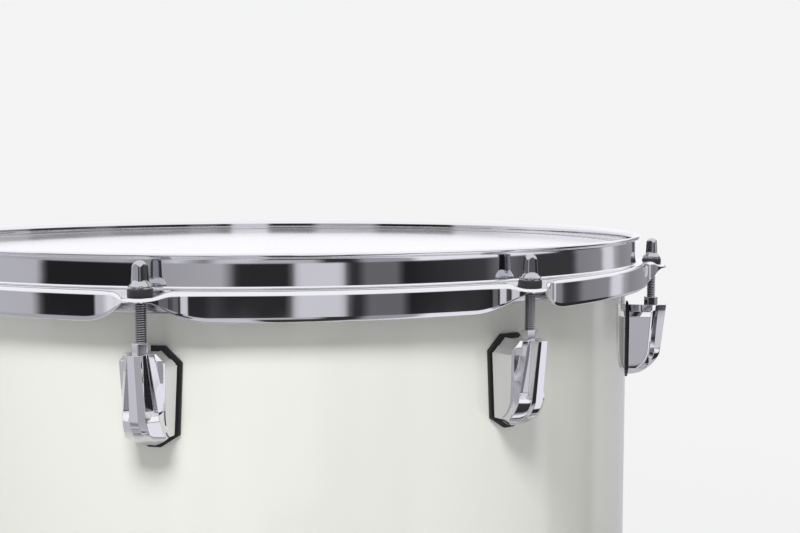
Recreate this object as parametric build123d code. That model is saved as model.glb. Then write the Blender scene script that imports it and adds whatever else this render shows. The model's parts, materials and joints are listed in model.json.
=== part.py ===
# Floor tom drum: wooden shell, two tensioned heads, two pressed steel hoops, lugs, rods and three legs.
# Units are millimetres. The origin is on the floor under the drum's axis, with +Z up.
import math
import os

from build123d import *

# Shell
SHELL_DIAMETER = 457.2
SHELL_DEPTH = 406.4
SHELL_WALL = 7.5
SHELL_LIFT = 230.0
EDGE_BACK_CUT = 2.5
VENT_RADIUS = 6.0
VENT_ANGLE = 157.5
GROMMET_WALL = 1.5
GROMMET_FLANGE = 5.0
GROMMET_LIP = 1.2

# Drum heads
FILM_THICKNESS = 0.3
COLLAR_OUT = 2.4
FLESH_GAP = 1.3
FLESH_WIDTH = 7.2
FLESH_HEIGHT = 10.0
FLESH_ROUND = 2.0
FILM_TUCK = 5.0

# Hoops, pressed from one sheet: an outward lip, an upright wall, an S-bend and a scalloped skirt
HOOP_SHEET = 2.3
HOOP_WALL_GAP = 3.5
HOOP_HEIGHT = 31.7
RIM_RISE = 8.0
LIP_REACH = 2.5
LIP_BEND = 1.0
WALL_HEIGHT = 13.75
OGEE_BEND = 1.6
EAR_TIP_RADIUS = 9.0
EAR_ROOT_HALF = 24.0
EAR_BLEND = 15.0
EAR_ROUND = 2.0
SCALLOP_TOP_HALF = 6.0
SCALLOP_RUN = 18.0

# Tension rods, washers and swivel nuts
LUG_COUNT = 8
ROD_STANDOFF = 15.8
ROD_DIAMETER = 5.5
ROD_CORE = 4.4
THREAD_PITCH = 1.06
ROD_LENGTH = 40.0
ROD_PLAIN = 6.0
HEAD_SQUARE = 6.4
HEAD_HEIGHT = 12.9
HEAD_DOME = 4.0
HEAD_NECK_DIAMETER = 5.8
FLANGE_DIAMETER = 11.0
FLANGE_THICKNESS = 1.3
FLANGE_CONE = 2.6
WASHER_DIAMETER = 11.8
WASHER_THICKNESS = 3.6
ROD_HOLE_GAP = 0.4
NUT_HEX_CORNERS = 8.6
NUT_HEX_HEIGHT = 4.8
NUT_HEX_CHAMFER = 0.4
NUT_SHANK_DIAMETER = 7.0
NUT_SHANK_LENGTH = 11.0
THREAD_GAP = 0.05

# Lugs and the gaskets under them. Reaches are measured from the shell and drops from the lug's top.
LUG_TOP_DROP = 37.0
LUG_HEIGHT = 45.4
LUG_REACH = 25.4
LUG_RAKE = 3.5
LUG_RAKE_DROP = 29.0
LUG_ROUNDNESS = 1.6
LUG_KEEL_HALF = 3.15
LUG_KEEL_FLARE = 0.024
LUG_KEEL_DIP = 0.9
LUG_RAIL_REACH = 20.4
LUG_RAIL_RAKE = 2.6
LUG_RAIL_HALF = 5.0
LUG_RAIL_FLARE = 0.125
LUG_RAIL_WIDTH = 2.1
LUG_RAIL_EDGE = 18.6
LUG_RAIL_FALL = 0.148
LUG_CHEEK_REACH = 15.6
LUG_CHEEK_RAKE = 2.2
LUG_CHEEK_RISE = 4.0
LUG_CHEEK_DRAFT = 0.09
LUG_CORNER_OUT = 1.0
LUG_CORNER_IN = 0.6
LUG_TOE_REACH = 3.2
LUG_TOP_HALF = 5.2
LUG_SHOULDER_HALF = 12.5
LUG_SHOULDER_DROP = 7.2
LUG_SHOULDER_LEAN = 0.11
LUG_HEEL_HALF = 10.9
LUG_HEEL_RISE = 5.2
LUG_TOE_HALF = 2.4
LUG_LEAST_STEP = 0.3
LUG_FLOOR_REACH = 19.4
LUG_FLOOR_RAKE = 0.17
LUG_FLOOR_SHARE = 0.3
LUG_POCKET_DROP = 26.5
LUG_POCKET_END = 31.0
LUG_ARC_STEPS = 3
GASKET_THICKNESS = 1.5
GASKET_MARGIN = 1.3
LUG_SCREW_DIAMETER = 5.0
LUG_SCREW_BITE = 6.0
LUG_SCREW_DROPS = (12.0, 35.0)
SCREW_HEAD_DIAMETER = 9.5
SCREW_HEAD_HEIGHT = 3.2
SCREW_HEAD_CHAMFER = 1.0
SCREW_GAP = 0.15

# Legs, feet and leg brackets
LEG_ANGLES = (112.5, 247.5, 337.5)
LEG_DIAMETER = 12.7
LEG_STANDOFF = 20.0
LEG_TOP_ABOVE_BRACKET = 26.0
LEG_BEND_HEIGHT = 140.0
LEG_BEND_RADIUS = 60.0
LEG_SPLAY = 7.0
LEG_END_HEIGHT = 9.0
LEG_TOP_CHAMFER = 1.0
LEG_BORE_GAP = 0.08
FOOT_DIAMETER = 25.0
FOOT_TOP_DIAMETER = 19.0
FOOT_HEIGHT = 42.0
FOOT_BASE_HEIGHT = 12.6
FOOT_NECK_HEIGHT = 21.0
FOOT_BORE_GAP = 0.05
BRACKET_DROP = 26.0
BRACKET_HEIGHT = 60.0
BRACKET_HALF_WIDTH = 13.5
BRACKET_FRONT = 12.0
BRACKET_CORNER = 6.0
BRACKET_PLATE_HEIGHT = 82.0
BRACKET_PLATE_HALF = 21.0
BRACKET_PLATE_THICKNESS = 4.5
BRACKET_PLATE_CORNER = 12.0
BRACKET_GASKET_CUT = 7.2
BRACKET_SCREW_SPACING = 70.0
BOSS_DIAMETER = 17.0
BOSS_LENGTH = 10.0
SHOE_DIAMETER = 9.0
SHOE_LENGTH = 5.5
SHOE_GAP = 0.12
WING_SCREW_DIAMETER = 8.0
WING_SCREW_PITCH = 1.25
WING_SCREW_CORE = 6.5
WING_HUB_DIAMETER = 13.0
WING_HUB_LENGTH = 11.0
WING_HUB_GAP = 2.0
WING_SPAN = 35.0
WING_THICKNESS = 5.0
WING_TIP_RADIUS = 6.0
WING_TIP_RISE = 7.7
WING_HUB_CHAMFER = 0.9

# Clearances
SEAT_GAP = 0.05
FILM_GAP = 0.1
FLESH_SEAT_GAP = 0.3

# Places that follow from the sizes above. An end frame has Z = 0 on the bearing edge and +Z outwards.
SHELL_RADIUS = SHELL_DIAMETER / 2
TOP_EDGE = SHELL_LIFT + SHELL_DEPTH
MIDDLE = SHELL_LIFT + SHELL_DEPTH / 2
WALL_INNER = SHELL_RADIUS + HOOP_WALL_GAP
WALL_OUTER = WALL_INNER + HOOP_SHEET
OGEE_OUT = OGEE_BEND + HOOP_SHEET
OGEE_RADIUS = WALL_OUTER + OGEE_BEND
SKIRT_OUTER = OGEE_RADIUS + OGEE_OUT
SKIRT_INNER = SKIRT_OUTER - HOOP_SHEET
OGEE_START = RIM_RISE - WALL_HEIGHT
OGEE_MIDDLE = OGEE_START - OGEE_BEND
EAR_TOP = OGEE_MIDDLE - OGEE_OUT
EAR_BOTTOM = EAR_TOP - HOOP_SHEET
SKIRT_BOTTOM = RIM_RISE - HOOP_HEIGHT
ROD_CIRCLE = SHELL_RADIUS + ROD_STANDOFF
WASHER_TOP = EAR_TOP + WASHER_THICKNESS
FLESH_TOP = OGEE_MIDDLE - HOOP_SHEET - FLESH_SEAT_GAP
FLESH_INNER = SHELL_RADIUS + FLESH_GAP
FLESH_OUTER = FLESH_INNER + FLESH_WIDTH
GASKET_OUTER = SHELL_RADIUS + SEAT_GAP + GASKET_THICKNESS
LUG_BACK = GASKET_OUTER + SEAT_GAP
LUG_TOP = -LUG_TOP_DROP
LUG_BOTTOM = LUG_TOP - LUG_HEIGHT
LEG_CIRCLE = SHELL_RADIUS + LEG_STANDOFF
LEG_RADIUS = LEG_DIAMETER / 2
BRACKET_BACK = GASKET_OUTER + SEAT_GAP
BRACKET_LEVEL = MIDDLE - BRACKET_DROP
LUG_ANGLES = [360.0 / LUG_COUNT * i for i in range(LUG_COUNT)]
LARGE = 2 * SHELL_DIAMETER

ENDS = {
    "batter": Pos(0, 0, TOP_EDGE),
    "resonant": Pos(0, 0, SHELL_LIFT) * Rot(180, 0, 0),
}


def spun(edges):
    """A solid of revolution about Z from a closed outline drawn as (radius, height)."""
    return revolve(Plane.XZ * make_face(edges), Axis.Z)


def closed(points):
    """The edges of a closed polygon."""
    return Polyline(*points, close=True).edges()


def around(shape, angles):
    """Copies of a shape turned about Z."""
    return [Rot(0, 0, angle) * shape for angle in angles]


def radial_rod(radius, start, end, height):
    """A round bar along +X from one radius to another."""
    return Pos(start, 0, height) * Rot(0, 90, 0) * Cylinder(
        radius, end - start, align=(Align.CENTER, Align.CENTER, Align.MIN)
    )


def upright_rod(radius, x, bottom, top):
    """A round bar along Z at a distance x from the axis."""
    return Pos(x, 0, bottom) * Cylinder(
        radius, top - bottom, align=(Align.CENTER, Align.CENTER, Align.MIN)
    )


def tube_between(inner, outer, bottom, top):
    """A plain tube about Z."""
    return upright_rod(outer, 0, bottom, top) - upright_rod(inner, 0, bottom, top)


def threaded_outline(core, crest, start, end, pitch):
    """Points of a saw-tooth thread flank, from height start down to height end."""
    points = []
    turns = int((start - end) / pitch)
    for i in range(turns):
        points.append((crest, start - i * pitch))
        points.append((core, start - (i + 0.5) * pitch))
    points.append((crest, start - turns * pitch))
    return points


# Shell with bearing edges, screw holes and the vent hole
def make_shell():
    inner = SHELL_RADIUS - SHELL_WALL
    peak = SHELL_RADIUS - EDGE_BACK_CUT
    inner_cut = SHELL_WALL - EDGE_BACK_CUT
    bottom, top = SHELL_LIFT, TOP_EDGE
    outline = [
        (SHELL_RADIUS, bottom + EDGE_BACK_CUT),
        (SHELL_RADIUS, top - EDGE_BACK_CUT),
        (peak, top),
        (inner, top - inner_cut),
        (inner, bottom + inner_cut),
        (peak, bottom),
    ]
    shell = spun(closed(outline))
    hole_radius = LUG_SCREW_DIAMETER / 2 + SCREW_GAP
    hole_start, hole_end = inner - SHELL_WALL, SHELL_RADIUS + SHELL_WALL
    holes = []
    for end in ENDS.values():
        for drop in LUG_SCREW_DROPS:
            hole = radial_rod(hole_radius, hole_start, hole_end, LUG_TOP - drop)
            holes += [end * copy for copy in around(hole, LUG_ANGLES)]
    for side in (-1, 1):
        height = BRACKET_LEVEL + side * BRACKET_SCREW_SPACING / 2
        holes += around(radial_rod(hole_radius, hole_start, hole_end, height), LEG_ANGLES)
    vent = radial_rod(VENT_RADIUS + SEAT_GAP, hole_start, hole_end, MIDDLE)
    holes.append(Rot(0, 0, VENT_ANGLE) * vent)
    return shell - holes


# Vent grommet: a flanged eyelet through the shell
def make_vent_grommet():
    bore = VENT_RADIUS - GROMMET_WALL
    flange = VENT_RADIUS + GROMMET_FLANGE
    back = SHELL_RADIUS - SHELL_WALL
    sag = SHELL_RADIUS - math.sqrt(SHELL_RADIUS**2 - flange**2)
    front = SHELL_RADIUS + SEAT_GAP
    inner_face = back - sag - SEAT_GAP
    outline = [
        (bore, inner_face - GROMMET_LIP),
        (flange, inner_face - GROMMET_LIP),
        (flange, inner_face),
        (VENT_RADIUS, inner_face),
        (VENT_RADIUS, front),
        (flange, front),
        (flange - GROMMET_LIP, front + GROMMET_LIP),
        (bore, front + GROMMET_LIP),
    ]
    eyelet = spun(closed(outline))
    return Rot(0, 0, VENT_ANGLE) * Pos(0, 0, MIDDLE) * Rot(0, 90, 0) * eyelet


# Drum head film: a flat skin with a collar over the bearing edge, tucked into the flesh hoop
def film_path():
    """Points of the film's under side, from the bearing edge to the end of its tuck."""
    peak = SHELL_RADIUS - EDGE_BACK_CUT
    collar = SHELL_RADIUS + COLLAR_OUT
    return [
        (peak, FILM_GAP),
        (SHELL_RADIUS + 2 * FILM_THICKNESS, FILM_GAP - EDGE_BACK_CUT),
        (collar, FLESH_TOP),
        (collar, FLESH_TOP - FILM_TUCK),
    ]


def make_film():
    under = film_path()
    over = [(radius + FILM_THICKNESS, height) for radius, height in under[1:]]
    over.insert(0, (under[0][0], FILM_GAP + FILM_THICKNESS))
    outline = [(0, FILM_GAP), *under, *reversed(over), (0, FILM_GAP + FILM_THICKNESS)]
    return spun(closed(outline))


# Flesh hoop: the metal ring that grips the film's edge
def make_flesh_hoop():
    bottom = FLESH_TOP - FLESH_HEIGHT
    middle = (FLESH_INNER + FLESH_OUTER) / 2
    ring = Pos(middle, (FLESH_TOP + bottom) / 2) * RectangleRounded(FLESH_WIDTH, FLESH_HEIGHT, FLESH_ROUND)
    slot_inner = SHELL_RADIUS + COLLAR_OUT - SEAT_GAP
    slot_outer = slot_inner + FILM_THICKNESS + 2 * SEAT_GAP
    slot = tube_between(slot_inner, slot_outer, FLESH_TOP - FILM_TUCK - SEAT_GAP, FLESH_TOP + FLESH_ROUND)
    return revolve(Plane.XZ * ring, Axis.Z) - slot


# Hoop: the upper part is spun, the skirt and its ears follow one plan outline
def hoop_wall():
    lip_out = LIP_BEND + HOOP_SHEET
    lip_centre = WALL_OUTER + LIP_BEND
    lip_level = RIM_RISE - lip_out
    edge = HOOP_SHEET / 2
    edge_centre = WALL_OUTER + LIP_REACH - edge
    skirt_stub = EAR_TOP - EAR_ROUND
    outline = [
        Line((WALL_INNER, OGEE_START), (WALL_INNER, lip_level)),
        CenterArc((lip_centre, lip_level), lip_out, 90, 90),
        Line((lip_centre, RIM_RISE), (edge_centre, RIM_RISE)),
        CenterArc((edge_centre, RIM_RISE - edge), edge, -90, 180),
        Line((edge_centre, RIM_RISE - HOOP_SHEET), (lip_centre, RIM_RISE - HOOP_SHEET)),
        CenterArc((lip_centre, lip_level), LIP_BEND, 90, 90),
        Line((WALL_OUTER, lip_level), (WALL_OUTER, OGEE_START)),
        CenterArc((OGEE_RADIUS, OGEE_START), OGEE_BEND, 180, 90),
        CenterArc((OGEE_RADIUS, EAR_TOP), OGEE_OUT, 0, 90),
        Line((SKIRT_OUTER, EAR_TOP), (SKIRT_OUTER, skirt_stub)),
        Line((SKIRT_OUTER, skirt_stub), (SKIRT_INNER, skirt_stub)),
        Line((SKIRT_INNER, skirt_stub), (SKIRT_INNER, EAR_TOP)),
        CenterArc((OGEE_RADIUS, EAR_TOP), OGEE_BEND, 0, 90),
        CenterArc((OGEE_RADIUS, OGEE_START), OGEE_OUT, 180, 90),
    ]
    return spun(outline)


def hoop_plan(inset=0.0):
    """The skirt's outline from above, shrunk by an inset: a circle with a blended tongue for each ear."""
    tip = EAR_TIP_RADIUS - inset
    skirt = SKIRT_OUTER - inset
    blend = EAR_BLEND + inset
    across = ROD_CIRCLE - WALL_INNER
    lean = math.atan2(across, EAR_ROOT_HALF) + math.asin(EAR_TIP_RADIUS / math.hypot(across, EAR_ROOT_HALF))
    outwards = Vector(math.cos(lean), math.sin(lean))
    along = Vector(math.sin(lean), -math.cos(lean))
    flank = ROD_CIRCLE * math.cos(lean) + tip
    run = math.sqrt((skirt + blend) ** 2 - (flank + blend) ** 2)
    blend_centre = outwards * (flank + blend) + along * run
    tip_end = Vector(ROD_CIRCLE, 0) + outwards * tip
    flank_end = blend_centre - outwards * blend
    skirt_start = blend_centre.normalized() * skirt
    blend_middle = blend_centre - (outwards + blend_centre.normalized()).normalized() * blend
    bay_middle = Vector(skirt, 0).rotate(Axis.Z, 180 / LUG_COUNT)
    half = [
        Line(tip_end, flank_end),
        ThreePointArc(flank_end, blend_middle, skirt_start),
        ThreePointArc(skirt_start, (skirt_start + bay_middle).normalized() * skirt, bay_middle),
    ]
    other_half = [mirror(edge, Plane.XZ) for edge in half]
    tip_arc = ThreePointArc(tip_end, (ROD_CIRCLE + tip, 0), (tip_end.X, -tip_end.Y))
    return make_face([copy for edge in [tip_arc, *half, *other_half] for copy in around(edge, LUG_ANGLES)])


def scallop():
    """The bay cut from the skirt under an ear: each flank falls fast, then runs out level with the skirt."""
    drop = EAR_BOTTOM - SKIRT_BOTTOM
    foot_half = SCALLOP_TOP_HALF + SCALLOP_RUN
    radius = (SCALLOP_RUN**2 + drop**2) / (2 * drop)
    below = SKIRT_BOTTOM - drop
    outline = []
    for side in (1, -1):
        top = (side * SCALLOP_TOP_HALF, EAR_BOTTOM)
        foot = (side * foot_half, SKIRT_BOTTOM)
        outline += [
            RadiusArc(top, foot, -side * radius),
            Line(foot, (side * foot_half, below)),
        ]
    outline.append(Line((-SCALLOP_TOP_HALF, EAR_BOTTOM), (SCALLOP_TOP_HALF, EAR_BOTTOM)))
    outline.append(Line((-foot_half, below), (foot_half, below)))
    bay = extrude(Plane.YZ * make_face(outline), ROD_STANDOFF + 2 * EAR_TIP_RADIUS)
    return Pos(SHELL_RADIUS + HOOP_WALL_GAP, 0, 0) * bay


def make_hoop():
    block = Pos(0, 0, SKIRT_BOTTOM) * extrude(hoop_plan(), EAR_TOP - SKIRT_BOTTOM)
    block = fillet(block.faces().sort_by(Axis.Z)[-1].edges(), EAR_ROUND)
    hollow = Pos(0, 0, SKIRT_BOTTOM) * extrude(hoop_plan(HOOP_SHEET), EAR_BOTTOM - SKIRT_BOTTOM)
    skirt = block - hollow - upright_rod(SKIRT_INNER, 0, SKIRT_BOTTOM, EAR_TOP)
    skirt -= around(scallop(), LUG_ANGLES)
    hole = upright_rod(ROD_DIAMETER / 2 + ROD_HOLE_GAP, ROD_CIRCLE, EAR_BOTTOM, EAR_TOP)
    washer_seat = upright_rod(WASHER_DIAMETER / 2 + ROD_HOLE_GAP, ROD_CIRCLE, EAR_TOP, RIM_RISE)
    return hoop_wall() + skirt - around(hole, LUG_ANGLES) - around(washer_seat, LUG_ANGLES)


# Tension rod: domed square head, coned flange and threaded shank
def make_rod():
    head_bottom = WASHER_TOP
    head_top = head_bottom + HEAD_HEIGHT
    corner = HEAD_SQUARE / math.sqrt(2)
    dome_radius = (corner**2 + HEAD_DOME**2) / (2 * HEAD_DOME)
    flange = FLANGE_DIAMETER / 2
    flange_top = head_bottom + FLANGE_THICKNESS
    cone_top = flange_top + FLANGE_CONE
    crest = ROD_DIAMETER / 2
    plain_end = head_bottom - ROD_PLAIN
    tip = head_bottom - ROD_LENGTH
    square = extrude(Rectangle(HEAD_SQUARE, HEAD_SQUARE), HEAD_HEIGHT)
    dome = spun(
        [
            Line((0, 0), (corner, 0)),
            Line((corner, 0), (corner, HEAD_HEIGHT - HEAD_DOME)),
            RadiusArc((corner, HEAD_HEIGHT - HEAD_DOME), (0, HEAD_HEIGHT), -dome_radius),
            Line((0, HEAD_HEIGHT), (0, 0)),
        ]
    )
    head = Pos(0, 0, head_bottom) * (square & dome)
    thread = threaded_outline(ROD_CORE / 2, crest, plain_end, tip + ROD_CORE / 4, THREAD_PITCH)
    shank = [
        (0, cone_top),
        (HEAD_NECK_DIAMETER / 2, cone_top),
        (flange, flange_top),
        (flange, head_bottom),
        (crest, head_bottom),
        *thread,
        (ROD_CORE / 2, tip),
        (0, tip),
    ]
    return Pos(ROD_CIRCLE, 0, 0) * (spun(closed(shank)) + head)


def make_washer():
    hole = upright_rod(ROD_DIAMETER / 2 + ROD_HOLE_GAP, ROD_CIRCLE, EAR_TOP, WASHER_TOP)
    return upright_rod(WASHER_DIAMETER / 2, ROD_CIRCLE, EAR_TOP, WASHER_TOP) - hole


def make_swivel_nut():
    """A nut with a hexagonal head, one flat facing outwards, and a round shank in the lug's socket."""
    hexagon = RegularPolygon(NUT_HEX_CORNERS / 2, 6, rotation=30)
    head = extrude(hexagon, NUT_HEX_HEIGHT)
    head = chamfer(head.faces().sort_by(Axis.Z)[-1].edges(), NUT_HEX_CHAMFER)
    shank = upright_rod(NUT_SHANK_DIAMETER / 2, 0, -NUT_SHANK_LENGTH, 0)
    bore = upright_rod(ROD_DIAMETER / 2 + THREAD_GAP, 0, -NUT_SHANK_LENGTH, NUT_HEX_HEIGHT)
    return Pos(ROD_CIRCLE, 0, LUG_TOP) * (head + shank - bore)


# Lug: a faceted casting with a keel, a pocket and a rail on each side of it and a socket for the swivel nut
def lug_front(margin=0.0):
    """Front outline of the lug as (across, height) points, grown by a margin."""
    half = [
        (LUG_TOP_HALF + margin / 2, LUG_TOP + margin),
        (LUG_SHOULDER_HALF + margin, LUG_TOP - LUG_SHOULDER_DROP + margin / 2),
        (LUG_HEEL_HALF + margin, LUG_BOTTOM + LUG_HEEL_RISE - margin / 2),
        (LUG_TOE_HALF + margin / 2, LUG_BOTTOM - margin),
    ]
    return half + [(-across, height) for across, height in reversed(half)]


def raked_arc(drop, reach, rake, end_drop):
    """Reach of a front that leans in a little, then rounds in to the toe."""
    if drop <= LUG_RAKE_DROP:
        return reach - rake * drop / LUG_RAKE_DROP
    share = min(1.0, (drop - LUG_RAKE_DROP) / (end_drop - LUG_RAKE_DROP))
    return LUG_TOE_REACH + (reach - rake - LUG_TOE_REACH) * (1 - share**LUG_ROUNDNESS) ** (1 / LUG_ROUNDNESS)


def lug_half_width(drop):
    """Half width of the lug against the shell."""
    corners = [
        (0.0, LUG_TOP_HALF),
        (LUG_SHOULDER_DROP, LUG_SHOULDER_HALF),
        (LUG_HEIGHT - LUG_HEEL_RISE, LUG_HEEL_HALF),
        (LUG_HEIGHT, LUG_TOE_HALF),
    ]
    for (above, wide_above), (below, wide_below) in zip(corners, corners[1:]):
        if drop <= below:
            return wide_above + (wide_below - wide_above) * (drop - above) / (below - above)
    return LUG_TOE_HALF


def pocket_floor(drop, level):
    """Reach of a pocket's floor beside the keel: deeper all the way down, then out to the front's level."""
    deep = LUG_FLOOR_REACH - LUG_FLOOR_RAKE * min(drop, LUG_POCKET_DROP)
    if drop <= LUG_POCKET_DROP:
        return deep
    left = max(0.0, (LUG_POCKET_END - drop) / (LUG_POCKET_END - LUG_POCKET_DROP))
    return level + (deep - level) * left


def lug_outline(drop):
    """Half of a level section as (reach, across): cheek, chamfered corner, rail, pocket and keel."""
    keel_reach = raked_arc(drop, LUG_REACH, LUG_RAKE, LUG_HEIGHT)
    rail_reach = raked_arc(drop, LUG_RAIL_REACH, LUG_RAIL_RAKE, LUG_HEIGHT)
    rail_reach = min(rail_reach, keel_reach - LUG_LEAST_STEP)
    cheek = raked_arc(drop, LUG_CHEEK_REACH, LUG_CHEEK_RAKE, LUG_HEIGHT - LUG_CHEEK_RISE)
    cheek = min(cheek, rail_reach - 3 * LUG_LEAST_STEP)
    corner_reach = min(cheek + LUG_CORNER_OUT, rail_reach - 2 * LUG_LEAST_STEP)
    rail_edge = min(LUG_RAIL_EDGE - LUG_RAIL_FALL * drop, rail_reach - LUG_LEAST_STEP)
    rail_edge = max(rail_edge, corner_reach + LUG_LEAST_STEP)
    base = lug_half_width(drop)
    widest = base if drop > LUG_SHOULDER_DROP else LUG_SHOULDER_HALF
    side = min(base + LUG_SHOULDER_LEAN * cheek, widest - LUG_CHEEK_DRAFT * cheek)
    corner = min(base + LUG_SHOULDER_LEAN * corner_reach, widest - LUG_CHEEK_DRAFT * cheek - LUG_CORNER_IN)
    rail_inner = LUG_RAIL_HALF + LUG_RAIL_FLARE * drop
    rail_outer = min(rail_inner + LUG_RAIL_WIDTH, corner + LUG_SHOULDER_LEAN * (rail_edge - corner_reach))
    rail_inner = min(rail_inner, rail_outer - LUG_LEAST_STEP)
    keel_half = min(LUG_KEEL_HALF + LUG_KEEL_FLARE * drop, rail_inner - LUG_LEAST_STEP)
    level = keel_reach + (rail_reach - keel_reach) * LUG_FLOOR_SHARE
    return [
        (0.0, base),
        (cheek, side),
        (corner_reach, corner),
        (rail_edge, rail_outer),
        (rail_reach, rail_inner),
        (pocket_floor(drop, level), keel_half + (rail_inner - keel_half) * LUG_FLOOR_SHARE),
        (keel_reach, keel_half),
        (keel_reach - LUG_KEEL_DIP, 0.0),
    ]


def lug_section(drop):
    """Level section of the lug as a face."""
    half = lug_outline(drop)
    points = half + [(reach, -across) for reach, across in reversed(half[:-1])]
    return Pos(SHELL_RADIUS, 0, LUG_TOP - drop) * make_face(closed(points))


def lug_casting():
    """The lug's outer form: chamfered shoulders, a straight stretch and a front rounded in short steps."""
    slope = (LUG_SHOULDER_HALF - LUG_TOP_HALF) / LUG_SHOULDER_DROP
    side_drop = LUG_SHOULDER_DROP - (LUG_CHEEK_DRAFT + LUG_SHOULDER_LEAN) * LUG_CHEEK_REACH / slope
    corner_drop = side_drop - (LUG_CORNER_IN + LUG_SHOULDER_LEAN * LUG_CORNER_OUT) / slope
    drops = [0.0, corner_drop, side_drop, LUG_SHOULDER_DROP]
    drops += [LUG_POCKET_DROP, LUG_RAKE_DROP, LUG_POCKET_END]
    marks = [LUG_POCKET_END, LUG_HEIGHT - LUG_HEEL_RISE, LUG_HEIGHT]
    for above, below in zip(marks, marks[1:]):
        drops += [above + (below - above) * (i + 1) / LUG_ARC_STEPS for i in range(LUG_ARC_STEPS)]
    return loft([lug_section(drop) for drop in drops], ruled=True)


def make_lug():
    body = lug_casting()
    socket = NUT_SHANK_DIAMETER / 2 + SEAT_GAP
    body -= upright_rod(socket, ROD_CIRCLE, LUG_TOP - NUT_SHANK_LENGTH - SEAT_GAP, LUG_TOP)
    for drop in LUG_SCREW_DROPS:
        tapped = LUG_BACK + LUG_SCREW_BITE + SCREW_GAP
        body -= radial_rod(LUG_SCREW_DIAMETER / 2 + THREAD_GAP, SHELL_RADIUS, tapped, LUG_TOP - drop)
    return body - upright_rod(LUG_BACK, 0, LUG_BOTTOM, LUG_TOP)


def curved_gasket(outline, holes):
    """A rubber sheet of the given front outline, wrapped on the shell, with screw holes at given heights."""
    block = extrude(Plane.YZ * make_face(closed(outline)), SHELL_RADIUS + LUG_REACH)
    heights = [height for _, height in outline]
    sheet = tube_between(SHELL_RADIUS + SEAT_GAP, GASKET_OUTER, min(heights), max(heights))
    gasket = block & sheet
    for height in holes:
        hole = LUG_SCREW_DIAMETER / 2 + SCREW_GAP
        gasket -= radial_rod(hole, SHELL_RADIUS - SHELL_WALL, GASKET_OUTER + LUG_REACH, height)
    return gasket


def make_lug_gasket():
    return curved_gasket(lug_front(GASKET_MARGIN), [LUG_TOP - drop for drop in LUG_SCREW_DROPS])


def inside_screw(height, end):
    """A screw put in from inside the shell, its shank reaching out to the given radius."""
    shank = LUG_SCREW_DIAMETER / 2
    head = SCREW_HEAD_DIAMETER / 2
    inner = SHELL_RADIUS - SHELL_WALL
    seat = math.sqrt(inner**2 - head**2) - SEAT_GAP
    cap = radial_rod(head, seat - SCREW_HEAD_HEIGHT, seat, height)
    cap = chamfer(cap.faces().sort_by(Axis.X)[0].edges(), SCREW_HEAD_CHAMFER)
    return cap + radial_rod(shank, seat - SCREW_HEAD_HEIGHT / 2, end, height)


def make_lug_screws():
    end = LUG_BACK + LUG_SCREW_BITE
    return [inside_screw(LUG_TOP - drop, end) for drop in LUG_SCREW_DROPS]


# Leg bracket: a plate screwed to the shell, an upright bore for the leg and a side boss for the wing screw
def make_bracket():
    plate_outline = RectangleRounded(2 * BRACKET_PLATE_HALF, BRACKET_PLATE_HEIGHT, BRACKET_PLATE_CORNER)
    plate_outer = BRACKET_BACK + BRACKET_PLATE_THICKNESS
    plate = Pos(0, 0, BRACKET_LEVEL) * extrude(Plane.YZ * plate_outline, plate_outer + LEG_STANDOFF)
    plate &= tube_between(BRACKET_BACK, plate_outer, 0, TOP_EDGE)
    front = LEG_CIRCLE + BRACKET_FRONT
    back = SHELL_RADIUS - SHELL_WALL
    block = Box(front - back, 2 * BRACKET_HALF_WIDTH, BRACKET_HEIGHT)
    block = Pos((front + back) / 2, 0, BRACKET_LEVEL) * block
    block = fillet(block.faces().sort_by(Axis.X)[-1].edges().filter_by(Axis.Z), BRACKET_CORNER)
    block -= upright_rod(BRACKET_BACK, 0, 0, TOP_EDGE)
    boss_end = BRACKET_HALF_WIDTH + BOSS_LENGTH
    boss = Pos(LEG_CIRCLE, 0, BRACKET_LEVEL) * Rot(-90, 0, 0) * upright_rod(BOSS_DIAMETER / 2, 0, 0, boss_end)
    body = plate + block + boss
    body -= upright_rod(LEG_RADIUS + LEG_BORE_GAP, LEG_CIRCLE, 0, TOP_EDGE)
    tapped = max(SHOE_DIAMETER / 2 + SEAT_GAP, WING_SCREW_DIAMETER / 2 + THREAD_GAP)
    body -= Pos(LEG_CIRCLE, 0, BRACKET_LEVEL) * Rot(-90, 0, 0) * upright_rod(tapped, 0, 0, boss_end)
    for side in (-1, 1):
        height = BRACKET_LEVEL + side * BRACKET_SCREW_SPACING / 2
        body -= radial_rod(LUG_SCREW_DIAMETER / 2 + THREAD_GAP, SHELL_RADIUS, LEG_CIRCLE, height)
    return body


def make_bracket_gasket():
    half, tall = BRACKET_PLATE_HALF + GASKET_MARGIN, BRACKET_PLATE_HEIGHT / 2 + GASKET_MARGIN
    cut_half, cut_tall = half - BRACKET_GASKET_CUT, tall - BRACKET_GASKET_CUT
    right = [(cut_half, tall), (half, cut_tall), (half, -cut_tall), (cut_half, -tall)]
    outline = right + [(-across, height) for across, height in reversed(right)]
    outline = [(across, BRACKET_LEVEL + height) for across, height in outline]
    holes = [BRACKET_LEVEL - BRACKET_SCREW_SPACING / 2, BRACKET_LEVEL + BRACKET_SCREW_SPACING / 2]
    return curved_gasket(outline, holes)


def make_bracket_screws():
    end = BRACKET_BACK + BRACKET_PLATE_THICKNESS
    halves = (-BRACKET_SCREW_SPACING / 2, BRACKET_SCREW_SPACING / 2)
    return [inside_screw(BRACKET_LEVEL + half, end) for half in halves]


# Clamp shoe and wing screw: they lie along the tangent at the leg's axis, the wing outermost
def on_clamp_axis(shape):
    """Puts a shape drawn along +Z on the clamp's axis, where Z = 0 is the leg's axis."""
    return Pos(LEG_CIRCLE, 0, BRACKET_LEVEL) * Rot(-90, 0, 0) * shape


def clamp_start():
    return LEG_RADIUS + SHOE_GAP


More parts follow.
